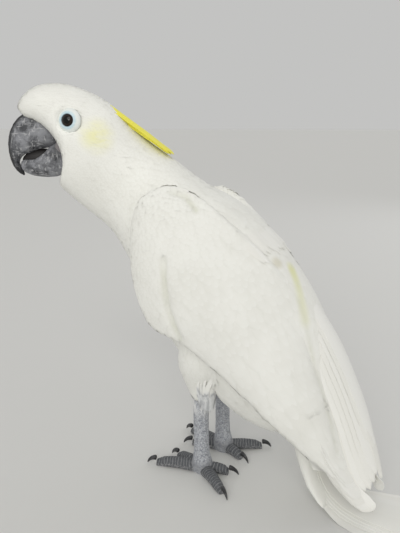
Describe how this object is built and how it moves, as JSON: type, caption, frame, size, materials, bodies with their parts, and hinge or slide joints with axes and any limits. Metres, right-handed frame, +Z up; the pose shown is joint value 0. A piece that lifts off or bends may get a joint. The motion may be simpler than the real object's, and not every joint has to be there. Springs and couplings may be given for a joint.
{
  "type": "white cockatoo",
  "caption": "Life-size still model of a standing white cockatoo with a yellow crest laid back, its head turned to its left, its bill slightly open and its tail on the ground.",
  "frame": {"origin": "on the ground, under the middle of the bird's overall box", "axes": "+Z up; the trunk faces -Y and the tail points to +Y; +X is the bird's left"},
  "size_m": [0.115, 0.352, 0.2999],
  "materials": {
    "plumage": "white feathers, matt",
    "crest": "sulphur yellow feathers, matt",
    "bill": "dark grey horn with a pale bloom",
    "eye": "near-black, wet gloss",
    "eye_ring": "bare pale blue skin",
    "scales": "grey scaly skin, matt",
    "claw": "dark horn, satin"
  },
  "bodies": {
    "root": {"bill_lower": "bill", "bill_upper": "bill", "claw_1_left": "claw", "claw_1_right": "claw", "claw_2_left": "claw", "claw_2_right": "claw", "claw_3_left": "claw", "claw_3_right": "claw", "claw_4_left": "claw", "claw_4_right": "claw", "crest": "crest", "eye_left": "eye", "eye_right": "eye", "eye_ring_left": "eye_ring", "eye_ring_right": "eye_ring", "head": "plumage", "neck": "plumage", "shank_left": "scales", "shank_right": "scales", "tail": "plumage", "thigh_left": "plumage", "thigh_right": "plumage", "toe_1_left": "scales", "toe_1_right": "scales", "toe_2_left": "scales", "toe_2_right": "scales", "toe_3_left": "scales", "toe_3_right": "scales", "toe_4_left": "scales", "toe_4_right": "scales", "trunk": "plumage", "wing_left_coverts": "plumage", "wing_left_primaries": "plumage", "wing_left_secondaries": "plumage", "wing_right_coverts": "plumage", "wing_right_primaries": "plumage", "wing_right_secondaries": "plumage"}
  },
  "joints": []
}
